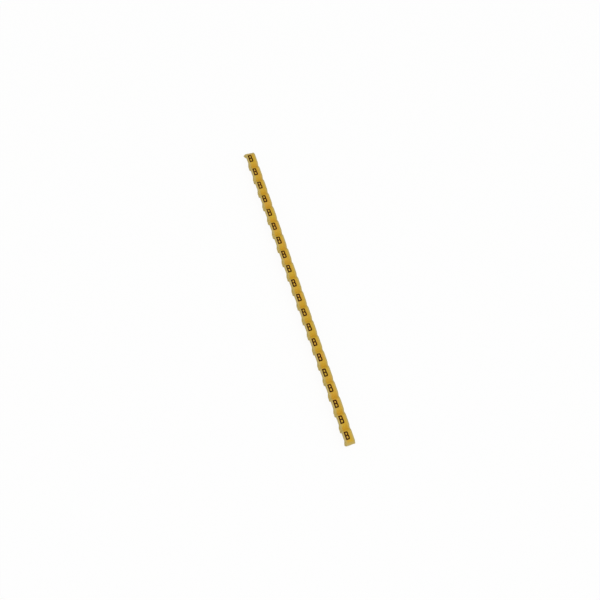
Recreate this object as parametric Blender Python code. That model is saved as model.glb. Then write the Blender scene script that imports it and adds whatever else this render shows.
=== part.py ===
"""Strip of clip-on cable markers, moulded in one piece.

Twenty markers stand in a row, joined at thin break-off webs. Each marker is a
flat label on two legs. The legs close around a channel that runs across the
strip, and a wire snaps in through the mouth between their lips. A rib stands
out from the left side of the legs at each joint.

Frame: Y runs along the strip with the first marker at +Y, X runs across it and
along each wire channel, Z is up. The strip stands on the feet of its legs at
Z = 0, labels up. The origin is below the middle of the strip's box, which the
ribs and the gate stub make wider than the labels on the left.
"""

import math

import bmesh
import bpy

MM = 0.001

# The row
MARKER_COUNT = 20
MARKER_WIDTH = 2.3 * MM

# Wire channel, seen from the side of the strip
CHANNEL_WIDTH = 2.45 * MM
CHANNEL_WALL_HEIGHT = 1.5 * MM
CHANNEL_CORNER_RADIUS = 0.5 * MM
LIP_REACH = 0.35 * MM
LIP_LAND = 0.15 * MM
LIP_SLOPE_HEIGHT = 0.5 * MM

# Legs and feet
LEG_WALL = 0.655 * MM
LEAD_IN_WIDTH = 0.2 * MM
LEAD_IN_HEIGHT = 0.25 * MM
FOOT_RADIUS = 0.25 * MM
SLIT_ROOT_WIDTH = 0.14 * MM
SLIT_DRAFT = math.radians(3.0)

# Label, and the break-off groove between two labels
LABEL_WALL = 0.78 * MM
LABEL_EDGE_RADIUS = 0.1 * MM
GROOVE_DEPTH = 0.5 * MM
GROOVE_SLOPE_WIDTH = 0.66 * MM
GROOVE_FLOOR_WIDTH = 0.12 * MM
SHOULDER_RADIUS = 0.35 * MM
WEB_THICKNESS = 0.35 * MM

# Side faces of the legs: a waist sets them in below the label, then a draft runs down to the feet
WAIST_TOP_DEPTH = 0.95 * MM
WAIST_HEIGHT = 0.5 * MM
WAIST_INSET = 0.32 * MM
FOOT_INSET = 0.7 * MM

# Rib on the left side at each joint, by depth below the label and by distance from the joint
RIB_REACH = 0.24 * MM
RIB_TOP_DEPTH = 0.62 * MM
RIB_CREST_DEPTH = 0.85 * MM
RIB_BELOW_JOINT = 0.68 * MM
RIB_ABOVE_JOINT = 1.3 * MM
RIB_RAMP = 0.95 * MM
RIB_END_DRAFT = 0.02 * MM
RIB_LAST_RAMP = 0.3 * MM

# Pointed stub over the first rib, where the gate of the mould was broken off
STUB_REACH = 0.52 * MM
STUB_TIP_FROM_END = 0.36 * MM
STUB_LENGTH = 1.24 * MM
STUB_END_SHARE = 0.55
STUB_DEPTH = 0.9 * MM
STUB_HALF_HEIGHT = 0.24 * MM

# Steps in each round stretch
CORNER_STEPS = 4
SHOULDER_STEPS = 3
EDGE_STEPS = 2

# Worked out from the sizes above
CENTRE_SHIFT = STUB_REACH / 2
PITCH = CHANNEL_WIDTH + 2 * LEG_WALL + SLIT_ROOT_WIDTH
STRIP_LENGTH = MARKER_COUNT * PITCH
LIP_TOP = LEAD_IN_HEIGHT + LIP_LAND
ROOF_HEIGHT = LIP_TOP + LIP_SLOPE_HEIGHT + CHANNEL_WALL_HEIGHT
HEIGHT = ROOF_HEIGHT + LABEL_WALL
WAIST_END_DEPTH = WAIST_TOP_DEPTH + WAIST_HEIGHT
WEB_UNDERSIDE = HEIGHT - GROOVE_DEPTH - WEB_THICKNESS

YELLOW = (0.60, 0.36, 0.045, 1.0)
SMOOTH_ANGLE = math.radians(32.0)


def clear_scene():
    """Removes every object, so that the part is the only one."""
    for old in list(bpy.data.objects):
        bpy.data.objects.remove(old, do_unlink=True)


def arc(centre, radius, start, end, steps):
    """Points (y, z) on a circle round centre, from angle start to end in degrees."""
    turn = [math.radians(start + (end - start) * k / steps) for k in range(steps + 1)]
    return [(centre[0] + radius * math.cos(a), centre[1] + radius * math.sin(a)) for a in turn]


def groove_half():
    """Points of the groove from the label's flat to the joint, as (distance from the joint, z)."""
    slope = math.atan2(GROOVE_DEPTH, GROOVE_SLOPE_WIDTH)
    shoulder = GROOVE_FLOOR_WIDTH / 2 + GROOVE_SLOPE_WIDTH
    reach = SHOULDER_RADIUS * math.tan(slope / 2)
    centre = (shoulder + reach, HEIGHT - SHOULDER_RADIUS)
    rounded = arc(centre, SHOULDER_RADIUS, 90, 90 + math.degrees(slope), SHOULDER_STEPS)
    return rounded + [(GROOVE_FLOOR_WIDTH / 2, HEIGHT - GROOVE_DEPTH)]


def leg_half():
    """Points of one leg from the web's underside round the foot to the middle of the channel roof,
    as (distance from the marker's middle, z)."""
    outer = PITCH / 2 - SLIT_ROOT_WIDTH / 2
    draft = math.tan(SLIT_DRAFT)
    channel = CHANNEL_WIDTH / 2
    mouth = channel - LIP_REACH
    foot_inner = mouth + LEAD_IN_WIDTH
    foot_outer = outer - WEB_UNDERSIDE * draft
    foot_radius = min(FOOT_RADIUS, 0.45 * (foot_outer - foot_inner))
    corner = min(CHANNEL_CORNER_RADIUS, 0.9 * CHANNEL_WALL_HEIGHT, 0.9 * channel)
    points = [(outer, WEB_UNDERSIDE)]
    foot_centre = (foot_outer + foot_radius * draft - foot_radius, foot_radius)
    points += arc(foot_centre, foot_radius, 0, -90, CORNER_STEPS)
    points += [
        (foot_inner, 0.0),
        (mouth, LEAD_IN_HEIGHT),
        (mouth, LIP_TOP),
        (channel, LIP_TOP + LIP_SLOPE_HEIGHT),
    ]
    points += arc((channel - corner, ROOF_HEIGHT - corner), corner, 0, 90, CORNER_STEPS)
    return points


def side_outline():
    """The closed outline (y, z) of the whole strip, seen from its side."""
    top, bottom = [], []
    groove, leg = groove_half(), leg_half()
    for k in range(MARKER_COUNT):
        middle = (k + 0.5) * PITCH - STRIP_LENGTH / 2
        low, high = middle - PITCH / 2, middle + PITCH / 2
        top += [(low + d, z) for d, z in reversed(groove)]
        top += [(high - d, z) for d, z in groove]
        bottom += [(middle - d, z) for d, z in leg]
        bottom += [(middle + d, z) for d, z in reversed(leg)]
    end = STRIP_LENGTH / 2
    ends_up = [(end, WEB_UNDERSIDE), (end, HEIGHT - GROOVE_DEPTH)]
    ends_down = [(-end, HEIGHT - GROOVE_DEPTH), (-end, WEB_UNDERSIDE)]
    return bottom + ends_up + list(reversed(top)) + ends_down


def extrude_across(bm, outline):
    """Makes the outline one face at the strip's left side and extrudes it to the right side."""
    left = -MARKER_WIDTH / 2
    face = bm.faces.new([bm.verts.new((left, y, z)) for y, z in outline])
    made = bmesh.ops.extrude_face_region(bm, geom=[face])["geom"]
    moved = [v for v in made if isinstance(v, bmesh.types.BMVert)]
    bmesh.ops.translate(bm, verts=moved, vec=(MARKER_WIDTH, 0, 0))
    bmesh.ops.recalc_face_normals(bm, faces=bm.faces)


def cut_across(bm, point, normal):
    """Splits every face at a plane and removes nothing."""
    everything = list(bm.verts) + list(bm.edges) + list(bm.faces)
    bmesh.ops.bisect_plane(bm, geom=everything, dist=1e-7, plane_co=point, plane_no=normal)


def cut_left_side(bm, point, normal, low=-STRIP_LENGTH / 2, high=STRIP_LENGTH / 2):
    """Splits the left side's faces at rib level at a plane, where their middles lie from low to high along Y."""
    side = []
    for face in bm.faces:
        middle = face.calc_center_median()
        at_rib = HEIGHT - WAIST_END_DEPTH < middle.z < HEIGHT - RIB_TOP_DEPTH / 2
        if face.normal.x < -0.99 and at_rib and low < middle.y < high:
            side.append(face)
    rims = {edge for face in side for edge in face.edges}
    corners = {vert for face in side for vert in face.verts}
    geom = side + list(rims) + list(corners)
    bmesh.ops.bisect_plane(bm, geom=geom, dist=1e-7, plane_co=point, plane_no=normal)


def leg_inset(depth):
    """How far a leg's side lies in from the label's side at a depth below the label."""
    if depth <= WAIST_END_DEPTH:
        return WAIST_INSET * max(0.0, depth - WAIST_TOP_DEPTH) / WAIST_HEIGHT
    share = (depth - WAIST_END_DEPTH) / (HEIGHT - WAIST_END_DEPTH)
    return WAIST_INSET + (FOOT_INSET - WAIST_INSET) * share


def rib_reach(depth, from_joint, to_last_end):
    """How far a rib stands out, by its depth, its distance from its joint towards +Y and from the last end."""
    rising = (depth - RIB_TOP_DEPTH) / (RIB_CREST_DEPTH - RIB_TOP_DEPTH)
    falling = (WAIST_END_DEPTH - depth) / WAIST_HEIGHT
    ramp = (RIB_ABOVE_JOINT - from_joint) / RIB_RAMP
    blunt_end = (RIB_BELOW_JOINT + from_joint) / RIB_END_DRAFT
    last_ramp = to_last_end / RIB_LAST_RAMP
    return RIB_REACH * max(0.0, min(1.0, rising, falling, ramp, blunt_end, last_ramp))


def stub_reach(depth, from_end):
    """How far the gate stub stands out, by its depth and its distance from the strip's first end."""
    level = 1 - abs(depth - STUB_DEPTH) / STUB_HALF_HEIGHT
    rising = STUB_END_SHARE + (1 - STUB_END_SHARE) * from_end / STUB_TIP_FROM_END
    falling = (STUB_LENGTH - from_end) / (STUB_LENGTH - STUB_TIP_FROM_END)
    return STUB_REACH * max(0.0, level) * max(0.0, min(rising, falling))


def cut_for_ribs(bm):
    """Splits the left side at the levels and the places where each rib bends."""
    for depth in (RIB_TOP_DEPTH, RIB_CREST_DEPTH):
        cut_left_side(bm, (0, 0, HEIGHT - depth), (0, 0, 1))
    end = STRIP_LENGTH / 2
    breaks = (-RIB_BELOW_JOINT, RIB_END_DRAFT - RIB_BELOW_JOINT, RIB_ABOVE_JOINT - RIB_RAMP, RIB_ABOVE_JOINT)
    for k in range(MARKER_COUNT + 1):
        joint = end - k * PITCH
        for place in breaks:
            cut_left_side(bm, (0, joint + place, 0), (0, 1, 0), joint - PITCH / 2, joint + PITCH / 2)
    cut_left_side(bm, (0, RIB_LAST_RAMP - end, 0), (0, 1, 0), -end, PITCH / 2 - end)


def cut_for_stub(bm):
    """Splits the left side at the first end where the stub bends."""
    end = STRIP_LENGTH / 2
    half_way = (STUB_TIP_FROM_END + STUB_LENGTH) / 2
    for distance in (STUB_TIP_FROM_END, half_way, STUB_LENGTH):
        cut_left_side(bm, (0, end - distance, 0), (0, 1, 0), end - PITCH / 2, end)
    for step in (-1, -0.5, 0, 0.5, 1):
        level = HEIGHT - STUB_DEPTH + step * STUB_HALF_HEIGHT
        cut_left_side(bm, (0, 0, level), (0, 0, 1), end - STUB_LENGTH, end)


def shape_sides(bm):
    """Gives the legs their waist and draft, the left side its ribs, and the first rib its stub."""
    for depth in (WAIST_TOP_DEPTH, WAIST_END_DEPTH):
        cut_across(bm, (0, 0, HEIGHT - depth), (0, 0, 1))
    bm.normal_update()
    cut_for_ribs(bm)
    cut_for_stub(bm)
    end = STRIP_LENGTH / 2
    for vert in bm.verts:
        depth = HEIGHT - vert.co.z
        from_end = end - vert.co.y
        from_joint = round(from_end / PITCH) * PITCH - from_end
        reach = -leg_inset(depth)
        if vert.co.x < 0:
            rib = rib_reach(depth, from_joint, STRIP_LENGTH - from_end)
            reach += max(rib, stub_reach(depth, from_end))
        vert.co.x += math.copysign(1.0, vert.co.x) * reach


def round_label_edges(bm):
    """Rounds the long upper edges of the labels, down into each groove and up again."""
    edges = []
    for edge in bm.edges:
        normals = [face.normal for face in edge.link_faces]
        side = any(abs(n.x) > 0.99 for n in normals)
        upward = any(n.z > 0.3 for n in normals)
        on_label = min(vert.co.z for vert in edge.verts) > WEB_UNDERSIDE
        if side and upward and on_label:
            edges.append(edge)
    bmesh.ops.bevel(
        bm,
        geom=edges,
        offset=LABEL_EDGE_RADIUS,
        affect="EDGES",
        segments=EDGE_STEPS,
        profile=0.5,
        material=-1,
    )


def moulded_yellow():
    """Yellow moulded nylon with a soft gloss."""
    material = bpy.data.materials.new("yellow_nylon")
    material.use_nodes = True
    shader = material.node_tree.nodes["Principled BSDF"]
    shader.inputs["Base Color"].default_value = YELLOW
    shader.inputs["Roughness"].default_value = 0.45
    shader.inputs["Metallic"].default_value = 0.0
    return material


def marker_strip():
    """The whole strip as one closed solid."""
    bm = bmesh.new()
    extrude_across(bm, side_outline())
    for k in range(1, MARKER_COUNT):
        cut_across(bm, (0, k * PITCH - STRIP_LENGTH / 2, 0), (0, 1, 0))
    bm.normal_update()
    round_label_edges(bm)
    shape_sides(bm)
    bmesh.ops.translate(bm, verts=bm.verts, vec=(CENTRE_SHIFT, 0, 0))
    bmesh.ops.recalc_face_normals(bm, faces=bm.faces)
    mesh = bpy.data.meshes.new("marker_strip")
    bm.to_mesh(mesh)
    bm.free()
    mesh.shade_smooth()
    mesh.set_sharp_from_angle(angle=SMOOTH_ANGLE)
    strip = bpy.data.objects.new("marker_strip", mesh)
    bpy.context.scene.collection.objects.link(strip)
    strip.data.materials.append(moulded_yellow())
    return strip


def main():
    clear_scene()
    marker_strip()


main()
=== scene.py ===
"""Looks of a snap-off strip of clip-on cable markers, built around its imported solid.

The strip is one nylon moulding. Its visible surface is a finer copy of the solid's form, with rounded rims,
and each label carries one printed letter. A plain pale studio stands round it.

Frame: Y runs along the strip with the first marker at +Y, X runs across it, Z is up. Lengths are in metres.
"""

import logging
import math
from dataclasses import dataclass, field
from enum import Enum
from typing import Iterable, Optional, Sequence

import bmesh
import bpy
from mathutils import Matrix, Vector
from mathutils.bvhtree import BVHTree


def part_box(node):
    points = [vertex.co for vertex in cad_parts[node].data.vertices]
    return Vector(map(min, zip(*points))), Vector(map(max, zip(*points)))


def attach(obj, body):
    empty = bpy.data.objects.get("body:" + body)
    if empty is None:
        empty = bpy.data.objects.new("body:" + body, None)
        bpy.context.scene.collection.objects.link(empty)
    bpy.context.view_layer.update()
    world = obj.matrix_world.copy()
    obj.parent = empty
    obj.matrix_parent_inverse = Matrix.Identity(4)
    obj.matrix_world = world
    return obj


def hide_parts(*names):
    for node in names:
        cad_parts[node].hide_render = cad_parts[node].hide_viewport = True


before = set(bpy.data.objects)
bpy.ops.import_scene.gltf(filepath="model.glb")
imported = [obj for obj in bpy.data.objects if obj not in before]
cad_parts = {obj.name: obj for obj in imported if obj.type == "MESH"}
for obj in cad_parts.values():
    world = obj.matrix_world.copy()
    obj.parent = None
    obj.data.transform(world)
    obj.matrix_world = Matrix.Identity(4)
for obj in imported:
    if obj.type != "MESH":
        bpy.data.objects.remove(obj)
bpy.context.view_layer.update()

log = logging.getLogger("cable_marker_strip")

MM = 0.001
TOUCH = 0.002 * MM  # places closer than this are the same
WELD = 0.0005 * MM  # corners closer than this become one
ON_PLANE = 0.00001 * MM  # corners closer than this to a cutting plane lie on it
STRIP_NODE = "marker_strip"

Point = tuple[float, float]
Colour = tuple[float, float, float, float]


def linear(code: str) -> Colour:
    """Turns an sRGB hex colour into the linear colour that a shader takes.

    Args:
        code: Six hex digits with a leading #.

    Returns:
        Linear red, green, blue and an alpha of one.
    """
    channels = [int(code[k:k + 2], 16) / 255 for k in (1, 3, 5)]
    curve = [c / 12.92 if c <= 0.04045 else ((c + 0.055) / 1.055) ** 2.4 for c in channels]
    return (*curve, 1.0)


def per_metre(size_mm: float) -> float:
    """Gives the noise scale for a pattern of a known size.

    Args:
        size_mm: How far across one feature of the pattern is, in millimetres.

    Returns:
        The scale, in features per metre.
    """
    return 1 / (size_mm * MM)


def add_node(
    tree: bpy.types.NodeTree,
    kind: str,
    settings: Optional[dict[str | int, object]] = None,
    links: Optional[dict[str | int, bpy.types.NodeSocket]] = None,
) -> bpy.types.Node:
    """Adds one shader node with its settings and the links into it.

    Args:
        tree: The node tree that the node joins.
        kind: The node's type name.
        settings: Values by name, looked for on the node and then among its inputs, or by input number.
        links: Sockets that feed the node's inputs, by the input's name or number.

    Returns:
        The new node.
    """
    node = tree.nodes.new(kind)
    for name, value in (settings or {}).items():
        if isinstance(name, str) and hasattr(node, name):
            setattr(node, name, value)
        else:
            node.inputs[name].default_value = value
    for name, socket in (links or {}).items():
        tree.links.new(socket, node.inputs[name])
    return node


def ramp(
    tree: bpy.types.NodeTree,
    factor: bpy.types.NodeSocket,
    stops: Sequence[tuple[float, Colour]],
) -> bpy.types.Node:
    """Adds a colour ramp with these stops.

    Args:
        tree: The node tree that the ramp joins.
        factor: The socket that runs along the ramp.
        stops: Place from 0 to 1 and colour of each stop.

    Returns:
        The new ramp node.
    """
    node = add_node(tree, "ShaderNodeValToRGB", links={"Fac": factor})
    while len(node.color_ramp.elements) < len(stops):
        node.color_ramp.elements.new(1.0)
    for element, (place, colour) in zip(node.color_ramp.elements, stops):
        element.position = place
        element.color = colour
    return node


def grey(level: float) -> Colour:
    """Gives a neutral colour.

    Args:
        level: Its linear level, from 0 to 1.

    Returns:
        The colour, with an alpha of one.
    """
    return (level, level, level, 1.0)


def seen_directly(tree: bpy.types.NodeTree) -> bpy.types.NodeSocket:
    """Adds a value that is one for camera, glossy and transmission rays and zero for all other light.

    Args:
        tree: The node tree of a floor or a world.

    Returns:
        The socket with that value.
    """
    path = add_node(tree, "ShaderNodeLightPath").outputs
    glossy = add_node(
        tree,
        "ShaderNodeMath",
        {"operation": "MAXIMUM"},
        {0: path["Is Camera Ray"], 1: path["Is Glossy Ray"]},
    )
    return add_node(
        tree,
        "ShaderNodeMath",
        {"operation": "MAXIMUM"},
        {0: glossy.outputs[0], 1: path["Is Transmission Ray"]},
    ).outputs[0]


def new_material(name: str) -> tuple[bpy.types.Material, bpy.types.NodeTree, bpy.types.Node]:
    """Makes a material with nodes.

    Args:
        name: The material's name.

    Returns:
        The material, its node tree and its Principled shader.
    """
    material = bpy.data.materials.new(name)
    material.use_nodes = True
    tree = material.node_tree
    return material, tree, tree.nodes["Principled BSDF"]


def bevel_edges(
    bm: bmesh.types.BMesh,
    edges: Sequence[bmesh.types.BMEdge],
    offset: float,
    steps: int,
) -> None:
    """Rounds these edges.

    Args:
        bm: The mesh that holds them.
        edges: The edges to round.
        offset: Distance from each edge to where the rounding starts.
        steps: Faces in each rounding.
    """
    bmesh.ops.bevel(
        bm,
        geom=list(edges),
        offset=offset,
        affect="EDGES",
        segments=steps,
        profile=0.5,
        material=-1,
        clamp_overlap=True,
    )


def cut(
    bm: bmesh.types.BMesh,
    point: Sequence[float],
    normal: Sequence[float],
    faces: Optional[Iterable[bmesh.types.BMFace]] = None,
) -> None:
    """Splits faces at a plane, and removes nothing.

    Args:
        bm: The mesh.
        point: A point on the plane.
        normal: The plane's normal.
        faces: The faces to split, or None for all.
    """
    # Lists and dictionaries keep their order, as sets don't, so each run hands over the same order.
    chosen = list(bm.faces if faces is None else faces)
    edges = dict.fromkeys(edge for face in chosen for edge in face.edges)
    corners = dict.fromkeys(corner for edge in edges for corner in edge.verts)
    geometry = [*corners, *edges, *chosen]
    bmesh.ops.bisect_plane(bm, geom=geometry, dist=ON_PLANE, plane_co=point, plane_no=normal)


def direction(azimuth: float, elevation: float) -> Vector:
    """Gives the way from the strip to a camera or lamp.

    Args:
        azimuth: Degrees round Z, 0 to look along +Y and 90 to look along -X.
        elevation: Degrees above the horizon.

    Returns:
        A vector of length one.
    """
    a, e = math.radians(azimuth), math.radians(elevation)
    return Vector((math.sin(a) * math.cos(e), -math.cos(a) * math.cos(e), math.sin(e)))


def looking_at(target: Vector, back: Vector, distance: float, roll: float = 0.0) -> Matrix:
    """Gives the placement of a lamp or camera that looks at a target.

    Args:
        target: What it looks at.
        back: The way from the target to it, of length one.
        distance: How far away it is.
        roll: Radians that it is turned round its own line of sight.

    Returns:
        The matrix that places it.
    """
    level = back.to_track_quat("Z", "Y").to_matrix().to_4x4()
    turned = level @ Matrix.Rotation(roll, 4, "Z")
    return Matrix.Translation(target + back * distance) @ turned


def smooth_step(share: float) -> float:
    """Eases a share in and out.

    Args:
        share: Any number.

    Returns:
        The eased share, held at 0 and 1 outside that range.
    """
    held = min(1.0, max(0.0, share))
    return held * held * (3 - 2 * held)


def spread(start: float, length: float, steps: int) -> list[float]:
    """Lists values spread evenly over a length.

    Args:
        start: The first value.
        length: Distance from the first value to the last, negative to count down.
        steps: Steps between them.

    Returns:
        The values, both ends included.
    """
    return [start + length * k / steps for k in range(steps + 1)]


def repeat_along(bm: bmesh.types.BMesh, count: int, step: float) -> None:
    """Copies everything in the mesh along -Y.

    Args:
        bm: The mesh, which holds the first of the row.
        count: How many there are in the row in the end.
        step: Distance from one to the next.
    """
    bmesh.ops.spin(
        bm,
        geom=[*bm.verts, *bm.edges, *bm.faces],
        cent=(0, 0, 0),
        axis=(0, 0, 1),
        dvec=(0, -step, 0),
        angle=0,
        steps=count - 1,
        use_duplicate=True,
    )


def mesh_object(
    name: str,
    bm: bmesh.types.BMesh,
    material: bpy.types.Material,
    sharp: float,
) -> bpy.types.Object:
    """Turns a bmesh into an object of the scene, shaded smooth with sharp creases.

    Args:
        name: Name of the piece.
        bm: The finished mesh, which is freed.
        material: The piece's finish.
        sharp: Angle in radians from which a crease stays sharp.

    Returns:
        The new object, at the origin.
    """
    mesh = bpy.data.meshes.new(name)
    bm.to_mesh(mesh)
    bm.free()
    mesh.shade_smooth()
    mesh.set_sharp_from_angle(angle=sharp)
    mesh.materials.append(material)
    piece = bpy.data.objects.new(name, mesh)
    bpy.context.scene.collection.objects.link(piece)
    return piece


@dataclass(frozen=True)
class MouldedNylon:
    """Yellow polyamide, injection moulded: satin, even in colour, faintly clouded where the melt flowed.
    Shade in the grooves and a pale reflection on the outer edges are painted into its colour.
    """

    name: str = "polyamide_66_moulded_yellow"
    body: str = "#CCA12A"
    pale: str = "#C8A628"
    deep: str = "#D09B30"
    # Painted shade in the break-off grooves: its colour and the depths below the labels' tops over which it
    # comes in.
    groove_shade: str = "#C99A22"
    groove_shade_depths: tuple[float, float] = (0.26 * MM, 0.5 * MM)
    upward_span: tuple[float, float] = (0.3, 0.7)
    # Painted reflection of the white table on the labels' outer edges and the strip's ends: its colour and
    # where it comes in.
    edge: str = "#BFA95F"
    reflection_from_middle: tuple[float, float] = (0.5 * MM, 1.05 * MM)
    reflection_from_end: tuple[float, float] = (0.85 * MM, 0.15 * MM)
    shade_span: tuple[float, float] = (-0.5, 0.0)
    tone_stops: tuple[float, float, float] = (0.30, 0.52, 0.74)
    gloss: float = 0.22
    roughness: tuple[float, float] = (0.40, 0.54)
    relief_span: tuple[float, float] = (0.3, 0.7)
    cloud_mm: float = 3.2
    grain_mm: float = 0.16
    draw_mark_mm: float = 0.22
    draw_stretch: float = 0.12
    grain_depth: float = 0.004 * MM
    grain_strength: float = 0.35

    def material(self, label_level: float, middle: float, end: float) -> bpy.types.Material:
        """Builds the finish.

        Args:
            label_level: Height of the labels' flat tops.
            middle: Place of the labels' middle across the strip.
            end: Distance from the origin to either end of the strip.

        Returns:
            A material whose clouds follow the strip and whose grain is drawn coarse enough to show, with
            painted shade in the grooves and a painted reflection on the outer edges.
        """
        material, tree, shader = new_material(self.name)
        place = add_node(tree, "ShaderNodeTexCoord").outputs["Object"]
        # Clouds several millimetres long give the slow change of tone along the strip.
        cloud = add_node(
            tree,
            "ShaderNodeTexNoise",
            {"Scale": per_metre(self.cloud_mm), "Detail": 3.0, "Roughness": 0.55},
            {"Vector": place},
        )
        tones = [linear(code) for code in (self.deep, self.body, self.pale)]
        tone = ramp(tree, cloud.outputs["Fac"], list(zip(self.tone_stops, tones)))
        # Painted shade: faces below the labels' tops, in the break-off grooves, are painted a deeper amber
        # for the shade that falls there. Only faces that look up get it, so it stays off the legs.
        across, along, height = add_node(tree, "ShaderNodeSeparateXYZ", links={"Vector": place}).outputs
        normal = add_node(tree, "ShaderNodeNewGeometry").outputs["Normal"]
        facing = add_node(tree, "ShaderNodeSeparateXYZ", links={"Vector": normal}).outputs["Z"]
        leaning, flat = self.upward_span
        upward = add_node(
            tree,
            "ShaderNodeMapRange",
            {"From Min": leaning, "From Max": flat},
            {"Value": facing},
        )
        shallow, full = self.groove_shade_depths
        groove_shade_share = add_node(
            tree,
            "ShaderNodeMapRange",
            {
                "interpolation_type": "SMOOTHSTEP",
                "From Min": label_level - shallow,
                "From Max": label_level - full,
            },
            {"Value": height, "To Max": upward.outputs["Result"]},
        )
        groove_shaded = add_node(
            tree,
            "ShaderNodeMix",
            {"data_type": "RGBA", 7: linear(self.groove_shade)},
            {0: groove_shade_share.outputs["Result"], 6: tone.outputs["Color"]},
        )
        # Painted reflection: the labels' outer edges and the strip's two ends are painted paler and greyer,
        # as the white table would look in them from the side. Faces that look down are left the plain tone,
        # as they would lie in shade.
        off_middle = add_node(tree, "ShaderNodeMath", {"operation": "SUBTRACT", 1: middle}, {0: across})
        from_middle = add_node(
            tree,
            "ShaderNodeMath",
            {"operation": "ABSOLUTE"},
            {0: off_middle.outputs[0]},
        )
        shaded, lit = self.shade_span
        not_below = add_node(
            tree,
            "ShaderNodeMapRange",
            {"From Min": shaded, "From Max": lit},
            {"Value": facing},
        )
        inner, outer = self.reflection_from_middle
        # The painted reflection along the outer sides.
        edge = add_node(
            tree,
            "ShaderNodeMapRange",
            {"interpolation_type": "SMOOTHSTEP", "From Min": inner, "From Max": outer},
            {"Value": from_middle.outputs[0], "To Max": not_below.outputs["Result"]},
        )
        from_centre = add_node(tree, "ShaderNodeMath", {"operation": "ABSOLUTE"}, {0: along})
        start, stop = self.reflection_from_end
        end_reflection_share = add_node(
            tree,
            "ShaderNodeMapRange",
            {"interpolation_type": "SMOOTHSTEP", "From Min": end - start, "From Max": end - stop},
            {"Value": from_centre.outputs[0], "To Max": not_below.outputs["Result"]},
        )
        reflection_share = add_node(
            tree,
            "ShaderNodeMath",
            {"operation": "MAXIMUM"},
            {0: edge.outputs["Result"], 1: end_reflection_share.outputs["Result"]},
        )
        edge_reflected = add_node(
            tree,
            "ShaderNodeMix",
            {"data_type": "RGBA", 7: linear(self.edge)},
            {0: reflection_share.outputs[0], 6: groove_shaded.outputs[2]},
        )
        # The spark-eroded mould leaves a grain of about 0.05 mm, drawn three times as coarse to be seen.
        grain = add_node(
            tree,
            "ShaderNodeTexNoise",
            {"Scale": per_metre(self.grain_mm), "Detail": 4.0, "Roughness": 0.6},
            {"Vector": place},
        )
        # Upright faces carry fine marks along the way the strip was drawn from the mould.
        stretched = add_node(
            tree,
            "ShaderNodeMapping",
            {"Scale": (1.0, 1.0, self.draw_stretch)},
            {"Vector": place},
        )
        marks = add_node(
            tree,
            "ShaderNodeTexNoise",
            {"Scale": per_metre(self.draw_mark_mm), "Detail": 2.0},
            {"Vector": stretched.outputs["Vector"]},
        )
        flatness = add_node(tree, "ShaderNodeMath", {"operation": "ABSOLUTE"}, {0: facing})
        relief = add_node(
            tree,
            "ShaderNodeMix",
            {"data_type": "FLOAT"},
            {"Factor": flatness.outputs[0], "A": marks.outputs["Fac"], "B": grain.outputs["Fac"]},
        )
        # The relief's hollows are a little smoother than its tops, which breaks up the satin sheen.
        (hollow, top), (smooth, rough) = self.relief_span, self.roughness
        satin = add_node(
            tree,
            "ShaderNodeMapRange",
            {"From Min": hollow, "From Max": top, "To Min": smooth, "To Max": rough},
            {"Value": relief.outputs[0]},
        )
        bump = add_node(
            tree,
            "ShaderNodeBump",
            {"Strength": self.grain_strength, "Distance": self.grain_depth},
            {"Height": relief.outputs[0]},
        )
        tree.links.new(edge_reflected.outputs[2], shader.inputs["Base Color"])
        tree.links.new(satin.outputs["Result"], shader.inputs["Roughness"])
        tree.links.new(bump.outputs["Normal"], shader.inputs["Normal"])
        shader.inputs["Specular IOR Level"].default_value = self.gloss
        return material


@dataclass(frozen=True)
class PadPrintInk:
    """Dark brown pad-printing ink: a film of a hundredth of a millimetre, matt, thinner here and there."""

    name: str = "pad_print_ink_brown_black"
    dense: str = "#321200"
    thin: str = "#4C2200"
    gloss: float = 0.06
    roughness: float = 0.6
    mottle_mm: float = 0.25
    cover_stops: tuple[float, float] = (0.35, 0.75)

    def material(self) -> bpy.types.Material:
        """Builds the finish.

        Returns:
            A material whose brown varies a little, as where the yellow below warms a thin film.
        """
        material, tree, shader = new_material(self.name)
        place = add_node(tree, "ShaderNodeTexCoord").outputs["Object"]
        # Spots a quarter of a millimetre across let the ink look printed, and not like a cut-out.
        mottle = add_node(
            tree,
            "ShaderNodeTexNoise",
            {"Scale": per_metre(self.mottle_mm), "Detail": 3.0},
            {"Vector": place},
        )
        browns = [linear(code) for code in (self.dense, self.thin)]
        cover = ramp(tree, mottle.outputs["Fac"], list(zip(self.cover_stops, browns)))
        tree.links.new(cover.outputs["Color"], shader.inputs["Base Color"])
        shader.inputs["Roughness"].default_value = self.roughness
        shader.inputs["Specular IOR Level"].default_value = self.gloss
        return material


@dataclass(frozen=True)
class PaleFloor:
    """Matt white board, lit so evenly that it goes white to the camera and keeps only a soft shadow."""

    name: str = "white_board_matt"
    colour: str = "#F4F4F2"
    roughness: float = 0.9
    glow: float = 0.93

    def material(self) -> bpy.types.Material:
        """Builds the finish.

        Returns:
            A matt white that the camera and reflections see mixed with plain white.
        """
        material, tree, shader = new_material(self.name)
        shader.inputs["Base Color"].default_value = linear(self.colour)
        shader.inputs["Roughness"].default_value = self.roughness
        # A plain white, mixed in for the camera, hides the board's own shading but leaves the soft shadow.
        white = add_node(tree, "ShaderNodeEmission", {"Color": grey(1.0), "Strength": 1.0})
        seen = seen_directly(tree)
        share = add_node(tree, "ShaderNodeMath", {"operation": "MULTIPLY", 1: self.glow}, {0: seen})
        mixed = add_node(
            tree,
            "ShaderNodeMixShader",
            links={"Fac": share.outputs[0], 1: shader.outputs[0], 2: white.outputs[0]},
        )
        tree.links.new(mixed.outputs[0], tree.nodes["Material Output"].inputs["Surface"])
        return material


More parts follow.
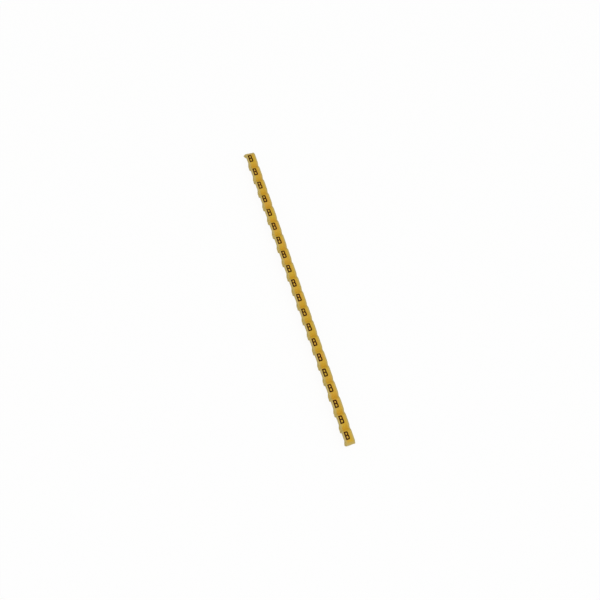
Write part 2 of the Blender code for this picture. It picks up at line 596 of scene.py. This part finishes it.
@dataclass(frozen=True)
class LegWaist:
    """Sides of the legs: set in below the label, then drawn in towards the feet."""

    top_depth: float = 0.95 * MM
    height: float = 0.5 * MM
    inset: float = 0.32 * MM
    foot_inset: float = 0.7 * MM

    @property
    def end_depth(self) -> float:
        """Depth below the label where the waist ends and the long draft starts."""
        return self.top_depth + self.height

    def inset_at(self, depth: float, foot_depth: float) -> float:
        """Gives how far a leg's side lies in from the label's side.

        Args:
            depth: Depth below the label.
            foot_depth: Depth of the feet.

        Returns:
            The distance in metres.
        """
        if depth <= self.end_depth:
            return self.inset * max(0.0, depth - self.top_depth) / self.height
        draft = (self.foot_inset - self.inset) * (depth - self.end_depth) / (foot_depth - self.end_depth)
        return self.inset + draft


@dataclass(frozen=True)
class SideRib:
    """Rib on the left at each joint: it ramps up on the marker above and ends bluntly on the one below."""

    reach: float = 0.24 * MM
    top_depth: float = 0.62 * MM
    crest_depth: float = 0.85 * MM
    below_joint: float = 0.68 * MM
    above_joint: float = 1.3 * MM
    ramp: float = 0.95 * MM
    end_draft: float = 0.02 * MM
    last_ramp: float = 0.3 * MM
    steps: int = 5

    def reach_at(self, depth: float, from_joint: float, to_last_end: float, waist: LegWaist) -> float:
        """Gives how far the rib stands out.

        Args:
            depth: Depth below the label.
            from_joint: Distance from the joint, positive towards the first marker.
            to_last_end: Distance from the strip's last end.
            waist: The waist that the rib runs out into below.

        Returns:
            The distance in metres.
        """
        rising = (depth - self.top_depth) / (self.crest_depth - self.top_depth)
        falling = (waist.end_depth - depth) / waist.height
        ramp = min(1.0, max(0.0, (self.above_joint - from_joint) / self.ramp))
        blunt_end = (self.below_joint + from_joint) / self.end_draft
        rounded_end = math.sqrt(max(0.0, 1 - (1 - min(1.0, to_last_end / self.last_ramp)) ** 2))
        eased = [smooth_step(share) for share in (rising, falling, blunt_end)]
        return self.reach * min(ramp, rounded_end, *eased)

    def levels(self, waist: LegWaist) -> list[float]:
        """Lists the depths at which the rib's curve across the strip needs corners.

        Args:
            waist: The waist that the rib runs out into below.

        Returns:
            Depths below the label.
        """
        rising = spread(self.top_depth, self.crest_depth - self.top_depth, self.steps)
        return rising + spread(waist.top_depth, waist.height, self.steps)

    def places(self) -> list[float]:
        """Lists the places at which the rib's curve along the strip needs corners.

        Returns:
            Distances from the joint, positive towards the first marker.
        """
        ramp = spread(self.above_joint, -self.ramp, self.steps)
        return ramp + [self.end_draft - self.below_joint, -self.below_joint]


@dataclass(frozen=True)
class GateStub:
    """Pointed stub at the left of the first marker, where the gate of the mould was broken off."""

    reach: float = 0.52 * MM
    tip_from_end: float = 0.36 * MM
    length: float = 1.24 * MM
    end_share: float = 0.55
    depth: float = 0.9 * MM
    half_height: float = 0.24 * MM
    steps: int = 4

    def reach_at(self, depth: float, from_end: float) -> float:
        """Gives how far the stub stands out.

        Args:
            depth: Depth below the label.
            from_end: Distance from the strip's first end.

        Returns:
            The distance in metres.
        """
        level = smooth_step(1 - abs(depth - self.depth) / self.half_height)
        rising = self.end_share + (1 - self.end_share) * from_end / self.tip_from_end
        falling = (self.length - from_end) / (self.length - self.tip_from_end)
        return self.reach * level * max(0.0, min(rising, falling))

    def levels(self) -> list[float]:
        """Lists the depths at which the stub needs corners.

        Returns:
            Depths below the label.
        """
        return [self.depth + self.half_height * k / self.steps for k in range(-self.steps, self.steps + 1)]

    def places(self) -> list[float]:
        """Lists the places along the strip at which the stub needs corners.

        Returns:
            Distances from the strip's first end.
        """
        tail = self.length - self.tip_from_end
        return [self.tip_from_end / 2] + spread(self.tip_from_end, tail, self.steps)


@dataclass
class MarkerStrip:
    """The moulding: labels in a row, each on two legs round a wire channel, joined at break-off webs."""

    low: Vector
    high: Vector
    count: int = 20
    waist: LegWaist = field(default_factory=LegWaist)
    rib: SideRib = field(default_factory=SideRib)
    stub: GateStub = field(default_factory=GateStub)
    print_relief: float = 0.012 * MM
    channel_width: float = 2.45 * MM
    lip_reach: float = 0.35 * MM
    lip_land: float = 0.15 * MM
    lip_slope_height: float = 0.5 * MM
    lead_in_width: float = 0.2 * MM
    lead_in_height: float = 0.25 * MM
    label_wall: float = 0.78 * MM
    slit_root_width: float = 0.14 * MM
    slit_draft: float = math.radians(3.0)
    web_thickness: float = 0.35 * MM
    groove_depth: float = 0.5 * MM
    groove_slope_width: float = 0.66 * MM
    groove_floor_width: float = 0.12 * MM
    shoulder_radius: float = 0.35 * MM
    shoulder_steps: int = 6
    channel_radius: float = 0.5 * MM
    channel_steps: int = 8
    foot_radius: float = 0.25 * MM
    foot_steps: int = 6
    lip_radius: float = 0.08 * MM
    lip_steps: int = 3
    root_radius: float = 0.05 * MM
    root_steps: int = 4
    label_rim: float = 0.1 * MM
    label_rim_steps: int = 4
    leg_rim: float = 0.04 * MM
    leg_rim_steps: int = 2
    rim_margin: float = 0.02 * MM
    crease: float = math.radians(40.0)
    finish: MouldedNylon = field(default_factory=MouldedNylon)

    @property
    def left(self) -> float:
        """Place of the labels' left side, which the ribs and the stub stand out from."""
        return self.low.x + self.stub.reach

    @property
    def width(self) -> float:
        """Width of the labels across the strip."""
        return self.high.x - self.left

    @property
    def middle(self) -> float:
        """Place of the labels' middle across the strip."""
        return (self.left + self.high.x) / 2

    @property
    def length(self) -> float:
        """Length of the whole row."""
        return self.high.y - self.low.y

    @property
    def pitch(self) -> float:
        """Distance from one marker to the next."""
        return self.length / self.count

    @property
    def box_height(self) -> float:
        """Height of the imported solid."""
        return self.high.z - self.low.z

    @property
    def label_height(self) -> float:
        """Height of the bare label, which leaves room for the print."""
        return self.box_height - self.print_relief

    @property
    def groove_floor(self) -> float:
        """Height of the break-off grooves' floor above the feet."""
        return self.box_height - self.groove_depth

    def under_corners(self) -> dict[str, Point]:
        """Lists the sharp corners of half a marker's underside, seen from the side.

        Returns:
            Distance from the marker's middle and height of each corner, from the web to the channel's roof.
        """
        end = self.pitch / 2
        outer = end - self.slit_root_width / 2
        channel = self.channel_width / 2
        mouth = channel - self.lip_reach
        lip_top = self.lead_in_height + self.lip_land
        web_under = self.groove_floor - self.web_thickness
        return {
            "web_under": (end, web_under),
            "slit_root": (outer, web_under),
            "foot_outer": (outer - web_under * math.tan(self.slit_draft), 0.0),
            "foot_inner": (mouth + self.lead_in_width, 0.0),
            "lead_in": (mouth, self.lead_in_height),
            "lip_top": (mouth, lip_top),
            "lip_back": (channel, lip_top + self.lip_slope_height),
            "roof": (channel, self.box_height - self.label_wall),
        }

    def top_corners(self) -> dict[str, Point]:
        """Lists the sharp corners of half a marker's top, seen from the side.

        Returns:
            Distance from the marker's middle and height of each corner, from the web to the label.
        """
        end = self.pitch / 2
        return {
            "web_top": (end, self.groove_floor),
            "groove_foot": (end - self.groove_floor_width / 2, self.groove_floor),
            "shoulder": (end - self.groove_floor_width / 2 - self.groove_slope_width, self.label_height),
        }

    def side_face(self, bm: bmesh.types.BMesh, middle: float) -> None:
        """Makes one marker's side as a face with sharp corners, and extrudes it to the other side.

        Args:
            bm: The mesh to build in.
            middle: Place of the marker's middle along the strip.
        """
        under, top = list(self.under_corners().values()), list(self.top_corners().values())
        around = [(-d, z) for d, z in under] + [(d, z) for d, z in reversed(under)]
        around += top + [(-d, z) for d, z in reversed(top)]
        face = bm.faces.new([bm.verts.new((self.left, middle + d, self.low.z + z)) for d, z in around])
        made = bmesh.ops.extrude_face_region(bm, geom=[face])["geom"]
        moved = [v for v in made if isinstance(v, bmesh.types.BMVert)]
        bmesh.ops.translate(bm, verts=moved, vec=(self.width, 0, 0))
        distances = {face: abs(face.calc_center_median().y - middle) for face in bm.faces}
        joints = [face for face, distance in distances.items() if abs(distance - self.pitch / 2) < TOUCH]
        bmesh.ops.delete(bm, geom=joints, context="FACES_ONLY")
        bmesh.ops.recalc_face_normals(bm, faces=bm.faces)

    def round_across(
        self,
        bm: bmesh.types.BMesh,
        middle: float,
        names: Iterable[str],
        radius: float,
        steps: int,
    ) -> None:
        """Rounds edges that run across the strip.

        Args:
            bm: The mesh of one marker.
            middle: Place of the marker's middle along the strip.
            names: Corners of the side view whose edges are rounded.
            radius: Radius of the rounding.
            steps: Faces in each rounding.
        """
        corners = {**self.under_corners(), **self.top_corners()}
        for name in names:
            distance, height = corners[name]
            edges = []
            for edge in bm.edges:
                first, second = (vert.co for vert in edge.verts)
                halfway = (first + second) / 2
                across = abs(first.x - second.x) > self.width / 2
                here = abs(abs(halfway.y - middle) - distance) < TOUCH
                level = abs(halfway.z - self.low.z - height) < TOUCH
                if across and here and level:
                    edges.append(edge)
            turn = edges[0].calc_face_angle()
            bevel_edges(bm, edges, radius * math.tan(turn / 2), steps)

    def round_rims(self, bm: bmesh.types.BMesh) -> None:
        """Rounds the edges between the side faces and the rest: wider on the label, fine on the legs.

        Args:
            bm: The mesh of one marker.
        """
        bm.normal_update()
        sideways, upwards = 0.99, 0.3
        web_level = self.high.z - self.groove_depth - self.web_thickness
        label, legs = [], []
        for edge in bm.edges:
            normals = [face.normal for face in edge.link_faces]
            if len(normals) != 2 or sum(abs(n.x) > sideways for n in normals) != 1:
                continue
            above_web = min(vert.co.z for vert in edge.verts) > web_level
            on_label = above_web and any(n.z > upwards for n in normals)
            (label if on_label else legs).append(edge)
        bevel_edges(bm, label, self.label_rim, self.label_rim_steps)
        bm.normal_update()
        bevel_edges(bm, [edge for edge in legs if edge.is_valid], self.leg_rim, self.leg_rim_steps)

    def left_faces(self, bm: bmesh.types.BMesh, place: float, reach: float) -> list[bmesh.types.BMFace]:
        """Finds the faces of the left side and its fine rims, at rib level.

        Args:
            bm: The mesh.
            place: Place along the strip round which the faces lie.
            reach: How far from it their middles may be.

        Returns:
            The faces.
        """
        low, high = self.high.z - self.waist.end_depth, self.high.z - self.rib.top_depth
        past_rim = self.left + self.leg_rim + self.rim_margin
        found = []
        for face in bm.faces:
            centre = face.calc_center_median()
            on_side = max(vert.co.x for vert in face.verts) < past_rim
            if on_side and low - TOUCH < centre.z < high + TOUCH and abs(centre.y - place) < reach:
                found.append(face)
        return found

    def cut_for_ribs(self, bm: bmesh.types.BMesh, middle: float) -> None:
        """Gives one marker the corners that its waist and both halves of a rib need.

        Args:
            bm: The mesh of one marker.
            middle: Place of the marker's middle along the strip.
        """
        for depth in (self.waist.top_depth, self.waist.end_depth, self.rib.top_depth, self.rib.crest_depth):
            cut(bm, (0, 0, self.high.z - depth), (0, 0, 1))
        for depth in self.rib.levels(self.waist):
            cut(bm, (0, 0, self.high.z - depth), (0, 0, 1), self.left_faces(bm, middle, self.pitch))
        for side in (-1, 1):
            joint = middle + side * self.pitch / 2
            for place in self.rib.places():
                if place * side < 0:
                    cut(bm, (0, joint + place, 0), (0, 1, 0), self.left_faces(bm, middle, self.pitch))

    def shape_sides(self, bm: bmesh.types.BMesh) -> None:
        """Gives the legs their waist and draft, the left side its ribs, and the first marker its stub.

        Args:
            bm: The mesh of the whole strip.
        """
        stub_end = self.stub.length
        for place in self.stub.places():
            faces = self.left_faces(bm, self.high.y, 2 * stub_end)
            cut(bm, (0, self.high.y - place, 0), (0, 1, 0), faces)
        for depth in self.stub.levels():
            faces = self.left_faces(bm, self.high.y, stub_end)
            cut(bm, (0, 0, self.high.z - depth), (0, 0, 1), faces)
        for k in range(1, self.rib.steps + 1):
            place = self.low.y + self.rib.last_ramp * (k / self.rib.steps) ** 2
            cut(bm, (0, place, 0), (0, 1, 0), self.left_faces(bm, self.low.y, self.pitch / 2))
        for vert in bm.verts:
            depth = self.high.z - vert.co.z
            from_end = self.high.y - vert.co.y
            from_joint = round(from_end / self.pitch) * self.pitch - from_end
            inset = self.waist.inset_at(depth, self.box_height)
            if vert.co.x > self.middle:
                vert.co.x -= inset
            else:
                rib = self.rib.reach_at(depth, from_joint, self.length - from_end, self.waist)
                vert.co.x += inset - max(rib, self.stub.reach_at(depth, from_end))

    def build(self) -> bpy.types.Object:
        """Builds the strip from its first marker.

        Returns:
            The finished piece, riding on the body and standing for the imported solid.
        """
        bm = bmesh.new()
        middle = self.high.y - self.pitch / 2
        self.side_face(bm, middle)
        lips = ["lip_back", "lip_top", "lead_in", "foot_inner"]
        self.round_across(bm, middle, ["roof"], self.channel_radius, self.channel_steps)
        self.round_across(bm, middle, ["foot_outer"], self.foot_radius, self.foot_steps)
        self.round_across(bm, middle, ["shoulder"], self.shoulder_radius, self.shoulder_steps)
        self.round_across(bm, middle, lips, self.lip_radius, self.lip_steps)
        self.round_across(bm, middle, ["slit_root", "groove_foot"], self.root_radius, self.root_steps)
        self.round_rims(bm)
        self.cut_for_ribs(bm, middle)
        repeat_along(bm, self.count, self.pitch)
        bmesh.ops.remove_doubles(bm, verts=bm.verts, dist=WELD)
        # Only the strip's two ends are open now.
        bmesh.ops.holes_fill(bm, edges=[edge for edge in bm.edges if edge.is_boundary], sides=0)
        self.shape_sides(bm)
        bmesh.ops.recalc_face_normals(bm, faces=bm.faces)
        log.info("%s: %d open edges", STRIP_NODE, sum(not edge.is_manifold for edge in bm.edges))
        finish = self.finish.material(self.low.z + self.label_height, self.middle, self.length / 2)
        piece = mesh_object("moulded_strip", bm, finish, self.crease)
        flats = piece.modifiers.new("even_flats", "WEIGHTED_NORMAL")
        flats.keep_sharp = True
        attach(piece, "root")
        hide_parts(STRIP_NODE)
        return piece


@dataclass
class PrintedLegend:
    """One plain block letter on each label, as a thin film of ink that follows the label's surface."""

    strip: MarkerStrip
    height: float = 1.97 * MM
    width: float = 1.02 * MM
    stroke: float = 0.31 * MM
    waist: float = 1.03 * MM
    notch: float = 0.09 * MM
    upper_set_back: float = 0.05 * MM
    outer_radius: float = 0.3 * MM
    counter_radius: float = 0.12 * MM
    corner_steps: int = 6
    left_of_middle: float = 0.32 * MM
    above_middle: float = 0.24 * MM
    bite: float = 0.004 * MM
    bend_cuts: tuple[float, ...] = (0.0, 0.33, 0.66)
    crease: float = math.radians(30.0)
    finish: PadPrintInk = field(default_factory=PadPrintInk)

    def outer_corners(self) -> list[Point]:
        """Lists the corners of the letter's outline.

        Returns:
            The corners in order, from the foot on the left round to the top on the left.
        """
        right, set_back = self.width, self.width - self.upper_set_back
        return [
            (0.0, 0.0),
            (right, 0.0),
            (right, self.waist - self.notch),
            (set_back - self.notch, self.waist),
            (set_back, self.waist + self.notch),
            (set_back, self.height),
            (0.0, self.height),
        ]

    def counters(self) -> list[tuple[Point, Point]]:
        """Lists the two openings in the letter.

        Returns:
            Lower left and upper right corner of each.
        """
        s = self.stroke
        return [
            ((s, s), (self.width - s, self.waist - s / 2)),
            ((s, self.waist + s / 2), (self.width - self.upper_set_back - s, self.height - s)),
        ]

    def loop(self, bm: bmesh.types.BMesh, corners: Sequence[Point], round_ones: dict[int, float]) -> None:
        """Makes one closed line of edges with some corners rounded.

        Args:
            bm: The mesh to build in.
            corners: Corners in order.
            round_ones: Radius by the corner's number.
        """
        verts = [bm.verts.new((x, y, 0)) for x, y in corners]
        bm.faces.new(verts)
        for number, radius in round_ones.items():
            bmesh.ops.bevel(
                bm,
                geom=[verts[number]],
                offset=radius,
                affect="VERTICES",
                segments=self.corner_steps,
                profile=0.5,
                material=-1,
            )
        bmesh.ops.delete(bm, geom=list(bm.faces), context="FACES_ONLY")

    def letter(self, bm: bmesh.types.BMesh) -> None:
        """Makes the first letter: two openings inside one outline, filled and raised.

        Args:
            bm: The empty mesh to build in.
        """
        self.loop(bm, self.outer_corners(), {1: self.outer_radius, 5: self.outer_radius})
        for (x0, y0), (x1, y1) in self.counters():
            corners = [(x0, y0), (x1, y0), (x1, y1), (x0, y1)]
            self.loop(bm, corners, {1: self.counter_radius, 2: self.counter_radius})
        bmesh.ops.triangle_fill(bm, edges=bm.edges, use_beauty=True)
        bmesh.ops.recalc_face_normals(bm, faces=bm.faces)
        made = bmesh.ops.extrude_face_region(bm, geom=list(bm.faces))["geom"]
        raised = [v for v in made if isinstance(v, bmesh.types.BMVert)]
        bmesh.ops.translate(bm, verts=raised, vec=(0, 0, self.strip.print_relief + self.bite))
        bmesh.ops.recalc_face_normals(bm, faces=bm.faces)

    def build(self, surface: bpy.types.Object) -> bpy.types.Object:
        """Prints the letter on every label.

        Args:
            surface: The strip, onto which the film is laid.

        Returns:
            The finished piece, riding on the body.
        """
        bm = bmesh.new()
        self.letter(bm)
        middle = self.strip.high.y - self.strip.pitch / 2
        left = self.strip.middle - self.left_of_middle - self.width / 2
        foot = middle + self.above_middle - self.height / 2
        bmesh.ops.translate(bm, verts=bm.verts, vec=(left, foot, 0))
        # The letter's top runs onto the rounded shoulder, so the film is cut there to bend with it.
        corner_distance, _ = self.strip.top_corners()["shoulder"]
        for share in self.bend_cuts:
            place = middle + corner_distance - self.strip.shoulder_radius * (1 - share) / 3
            cut(bm, (0, place, 0), (0, 1, 0))
        repeat_along(bm, self.strip.count, self.strip.pitch)
        tree = BVHTree.FromObject(surface, bpy.context.evaluated_depsgraph_get())
        start = self.strip.high.z + self.strip.box_height
        for vert in bm.verts:
            hit, _, _, _ = tree.ray_cast(Vector((vert.co.x, vert.co.y, start)), Vector((0, 0, -1)))
            vert.co.z += hit.z - self.bite
        piece = mesh_object("printed_letters", bm, self.finish.material(), self.crease)
        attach(piece, "root")
        return piece


class Lamp(Enum):
    """Soft boxes round the strip, each by name."""

    KEY = "soft_box_overhead"
    FILL = "soft_box_side"


@dataclass(frozen=True)
class SoftBox:
    """A square soft lamp that points at the strip."""

    lamp: Lamp
    azimuth: float
    elevation: float
    distance: float
    side: float
    level: float

    def build(self, target: Vector) -> bpy.types.Object:
        """Hangs the lamp.

        Args:
            target: What it points at.

        Returns:
            The lamp, whose power gives its level on a white card that faces it at the target.
        """
        light = bpy.data.lights.new(self.lamp.value, "AREA")
        light.shape = "SQUARE"
        light.size = self.side
        light.energy = self.level * (math.pi * self.distance) ** 2
        back = direction(self.azimuth, self.elevation)
        piece = bpy.data.objects.new(self.lamp.value, light)
        piece.matrix_world = looking_at(target, back, self.distance)
        bpy.context.scene.collection.objects.link(piece)
        return piece


@dataclass
class Studio:
    """Pale floor, white surround, soft lamps and the camera."""

    aim: tuple[float, float, float] = (-0.03 * MM, -2.39 * MM, 3.18 * MM)
    azimuth: float = -44.5
    elevation: float = 66.5
    roll: float = 27.81
    distance: float = 214.5 * MM
    field_of_view: float = 37.26
    nearest_seen: float = 5 * MM
    floor_side: float = 3.0
    surround_level: float = 0.62
    floor_finish: PaleFloor = field(default_factory=PaleFloor)
    lamps: tuple[SoftBox, ...] = (
        SoftBox(Lamp.KEY, azimuth=20.0, elevation=77.0, distance=0.7, side=0.5, level=0.33),
        SoftBox(Lamp.FILL, azimuth=-70.0, elevation=40.0, distance=0.8, side=0.6, level=0.08),
    )

    def floor(self, height: float) -> bpy.types.Object:
        """Lays the floor that the strip stands on.

        Args:
            height: Level of the strip's feet.

        Returns:
            The floor.
        """
        bm = bmesh.new()
        bmesh.ops.create_grid(bm, x_segments=1, y_segments=1, size=self.floor_side / 2)
        bmesh.ops.translate(bm, verts=bm.verts, vec=(0, 0, height))
        board = mesh_object("floor_board", bm, self.floor_finish.material(), math.pi)
        return board

    def surround(self) -> None:
        """Sets a plain white world that lights the strip softly and looks white itself."""
        world = bpy.data.worlds.new("white_surround")
        bpy.context.scene.world = world
        world.use_nodes = True
        tree = world.node_tree
        seen = seen_directly(tree)
        strength = add_node(
            tree,
            "ShaderNodeMapRange",
            {"From Min": 0.0, "From Max": 1.0, "To Min": self.surround_level, "To Max": 1.0},
            {"Value": seen},
        )
        tree.nodes["Background"].inputs["Color"].default_value = grey(1.0)
        tree.links.new(strength.outputs["Result"], tree.nodes["Background"].inputs["Strength"])

    def camera(self) -> bpy.types.Object:
        """Sets the camera at the photograph's viewing angle.

        Returns:
            The camera.
        """
        data = bpy.data.cameras.new("camera")
        data.sensor_fit = "HORIZONTAL"
        data.angle = math.radians(self.field_of_view)
        data.clip_start = self.nearest_seen
        back = direction(self.azimuth, self.elevation)
        piece = bpy.data.objects.new("camera", data)
        piece.matrix_world = looking_at(Vector(self.aim), back, self.distance, math.radians(self.roll))
        bpy.context.scene.collection.objects.link(piece)
        bpy.context.scene.camera = piece
        return piece

    def build(self, height: float) -> None:
        """Builds the whole studio round the strip.

        Args:
            height: Level of the strip's feet.
        """
        self.floor(height)
        self.surround()
        for lamp in self.lamps:
            lamp.build(Vector(self.aim))
        self.camera()
        bpy.context.scene.view_settings.view_transform = "Standard"


def report(piece: bpy.types.Object) -> None:
    """Logs a finished piece with its count of triangles and its size in millimetres.

    Args:
        piece: The piece, with its mesh as data.
    """
    mesh = piece.data
    triangles = sum(len(polygon.vertices) - 2 for polygon in mesh.polygons)
    sides = [side / MM for side in piece.dimensions]
    log.info("%s: %d triangles, %.2f x %.2f x %.2f mm", piece.name, triangles, *sides)


def main() -> None:
    """Builds the strip, prints it and sets up the studio."""
    logging.basicConfig(level=logging.INFO, format="%(message)s")
    low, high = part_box(STRIP_NODE)
    strip = MarkerStrip(low, high)
    moulding = strip.build()
    report(moulding)
    report(PrintedLegend(strip).build(moulding))
    Studio().build(low.z)


if __name__ == "__main__":
    main()
